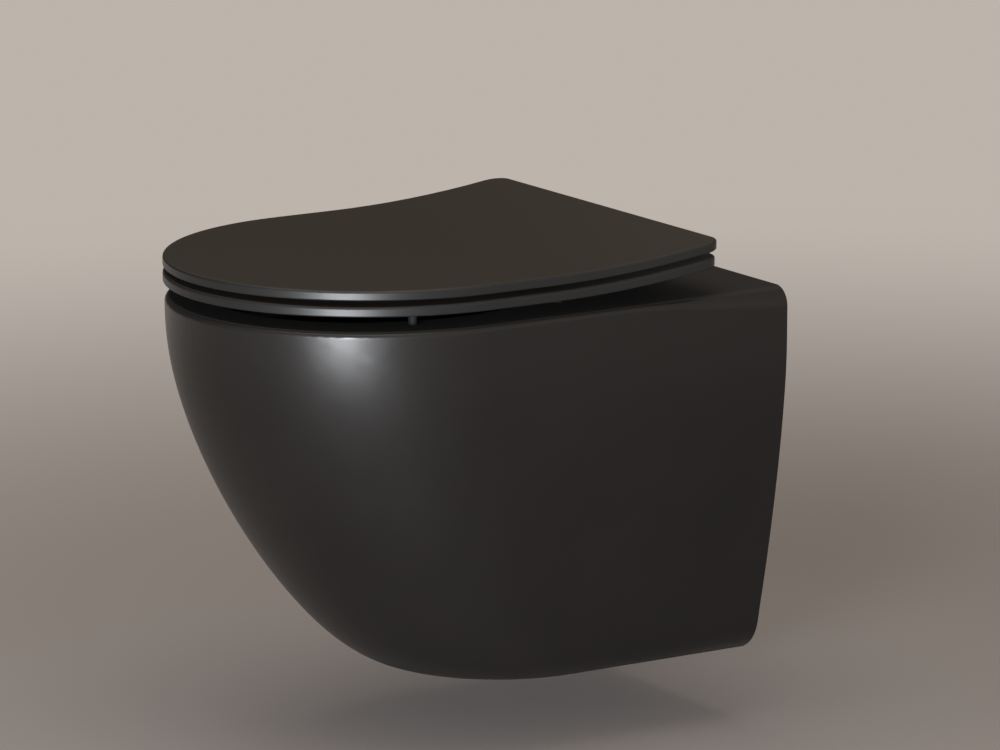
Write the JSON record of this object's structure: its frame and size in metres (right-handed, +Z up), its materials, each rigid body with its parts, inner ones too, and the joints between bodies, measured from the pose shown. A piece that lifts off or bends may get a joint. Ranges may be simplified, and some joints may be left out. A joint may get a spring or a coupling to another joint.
{
  "type": "wall hung toilet",
  "caption": "Matt black wall hung toilet: short rounded rimless pan, slim soft-close seat and lid on lift-off hinges, hidden wall fixing",
  "frame": {"origin": "on the wall face, midway between the two wall studs, 320 mm above the floor", "axes": "+Z up, +Y into the wall, X along the wall; the pan reaches out along -Y"},
  "size_m": [0.36, 0.497, 0.3876],
  "materials": {
    "black_glaze": "matte",
    "black_duroplast": "matte",
    "black_rubber": "matte",
    "grey_plastic": "matte",
    "zinc_plated_steel": "satin",
    "stainless_steel": "satin",
    "black_metal": "matte",
    "black_button": "matte"
  },
  "bodies": {
    "pan": {"pan_shell": "black_glaze", "basin": "black_glaze", "trapway": "black_glaze", "flush_channel": "black_glaze", "flush_deflector": "grey_plastic", "fixing_bracket_left": "zinc_plated_steel", "fixing_bracket_right": "zinc_plated_steel", "stud_nut_left": "zinc_plated_steel", "stud_nut_right": "zinc_plated_steel", "bearing_pad_left": "grey_plastic", "bearing_pad_right": "grey_plastic", "deck_bush_left": "black_rubber", "deck_bush_right": "black_rubber", "fixing_screw_left": "zinc_plated_steel", "fixing_screw_right": "zinc_plated_steel", "hinge_gasket_left": "black_rubber", "hinge_gasket_right": "black_rubber", "hinge_base_left": "black_metal", "hinge_base_right": "black_metal", "hinge_post_left": "stainless_steel", "hinge_post_right": "stainless_steel"},
    "hinge_hubs": {"hinge_hub_left": "black_metal", "hinge_hub_right": "black_metal", "hinge_pin_left": "stainless_steel", "hinge_pin_right": "stainless_steel", "latch_spring_left": "stainless_steel", "latch_spring_right": "stainless_steel"},
    "seat": {"seat_ring": "black_duroplast", "seat_buffers": "black_rubber", "seat_damper": "grey_plastic", "seat_bush": "grey_plastic"},
    "lid": {"lid": "black_duroplast", "lid_buffers": "black_rubber", "lid_damper": "grey_plastic", "lid_bush": "grey_plastic"},
    "button_left": {"release_button_left": "black_button"},
    "button_right": {"release_button_right": "black_button"}
  },
  "joints": [
    {"name": "seat_lift", "type": "slide", "parent": "pan", "child": "hinge_hubs", "axis": [0, 0, 1], "range_m": [0, 0.018], "deforming": ["latch_spring_left", "latch_spring_right"]},
    {"name": "seat_hinge", "type": "hinge", "parent": "hinge_hubs", "child": "seat", "pos_m": [0, -0.08, 0.112], "axis": [-1, 0, 0], "range_deg": [0, 96]},
    {"name": "lid_hinge", "type": "hinge", "parent": "seat", "child": "lid", "pos_m": [0, -0.08, 0.112], "axis": [1, 0, 0], "range_deg": [-98, 0]},
    {"name": "release_left", "type": "slide", "parent": "hinge_hubs", "child": "button_left", "axis": [0, 1, 0], "range_m": [0, 0.0025], "stiffness_N_per_m": 800, "springref_m": -0.002},
    {"name": "release_right", "type": "slide", "parent": "hinge_hubs", "child": "button_right", "axis": [0, 1, 0], "range_m": [0, 0.0025], "stiffness_N_per_m": 800, "springref_m": -0.002}
  ]
}
